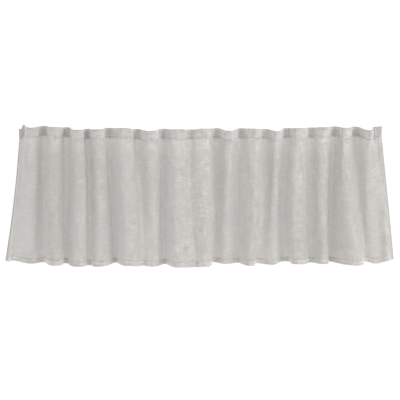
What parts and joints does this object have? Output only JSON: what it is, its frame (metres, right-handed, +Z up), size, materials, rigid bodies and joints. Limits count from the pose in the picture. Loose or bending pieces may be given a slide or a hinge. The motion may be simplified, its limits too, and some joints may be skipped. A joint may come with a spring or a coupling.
{
  "type": "window valance",
  "caption": "Short window valance of light linen-look cloth, hung in uneven upright folds from a stitched heading with a woven tape sewn behind it.",
  "frame": {"origin": "middle of the top edge, on the line the heading hangs from", "axes": "+Z up, X along the width, -Y the room side that is seen, +Y towards the window"},
  "size_m": [1.304, 0.1294, 0.4613],
  "materials": {
    "cloth": "matt, slightly see-through plain weave with slubs",
    "tape": "matt woven tape"
  },
  "bodies": {
    "root": {"cloth": "cloth", "heading_tape": "tape"}
  },
  "joints": []
}
